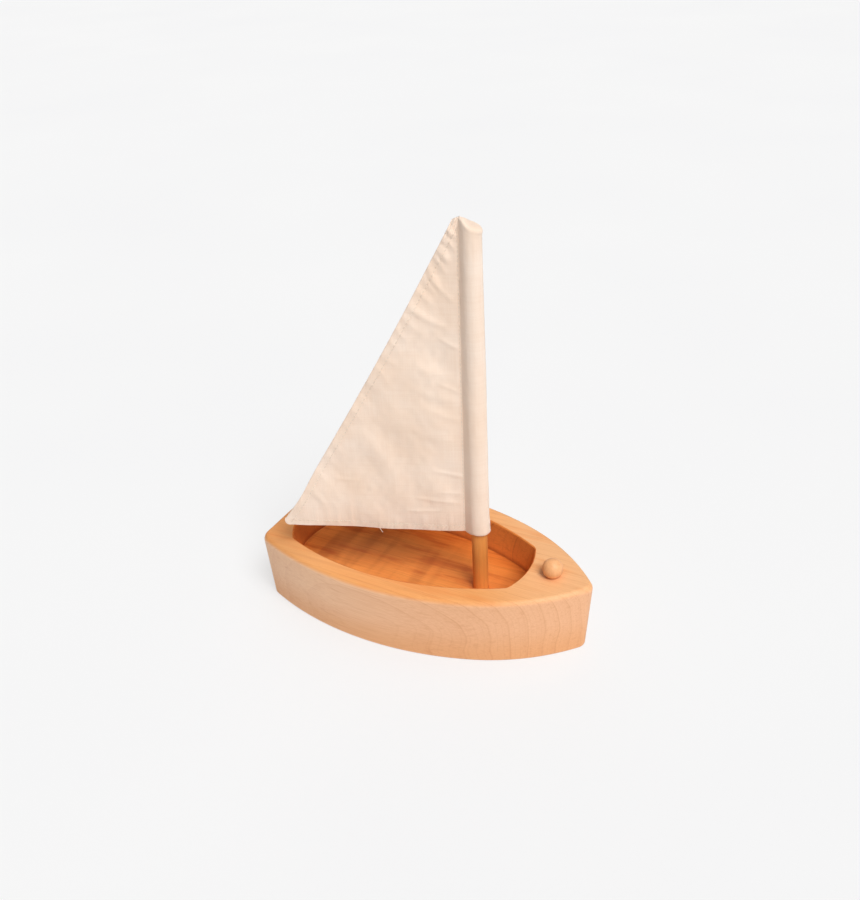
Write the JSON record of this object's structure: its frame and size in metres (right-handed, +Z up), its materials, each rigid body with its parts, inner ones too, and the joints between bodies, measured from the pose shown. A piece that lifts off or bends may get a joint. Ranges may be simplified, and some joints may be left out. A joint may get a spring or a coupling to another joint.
{
  "type": "toy sailing boat",
  "caption": "Wooden toy sailing boat with a hollowed cockpit, a plug-in dowel mast, a canvas sail on a sleeve that swings round it, and a ball peg on the foredeck.",
  "frame": {"origin": "middle of the hull's flat bottom: halfway along its length, on its centreline", "axes": "+Z up along the mast, +X towards the bow, +Y to port; the sail's clew is on the starboard quarter at rest"},
  "size_m": [0.2196, 0.1156, 0.269],
  "materials": {
    "hull_wood": "oiled, satin",
    "mast_wood": "oiled, satin",
    "peg_wood": "oiled, satin",
    "sail_canvas": "unbleached cotton canvas, matte",
    "thread": "natural cotton thread, matte"
  },
  "bodies": {
    "hull": {"hull": "hull_wood", "bow_peg": "peg_wood"},
    "mast": {"mast": "mast_wood"},
    "sail": {"sail_panel": "sail_canvas", "sail_sleeve": "sail_canvas", "sail_head": "sail_canvas", "leech_hem": "sail_canvas", "foot_hem": "sail_canvas", "sleeve_stitching": "thread", "leech_stitching": "thread", "foot_stitching": "thread"}
  },
  "joints": [
    {"name": "mast_lift", "type": "slide", "parent": "hull", "child": "mast", "axis": [0, 0, 1], "range_m": [0, 0.045]},
    {"name": "sail_swing", "type": "hinge", "parent": "mast", "child": "sail", "pos_m": [0.0343, 0, 0.166], "axis": [0, 0, 1], "continuous": true}
  ]
}
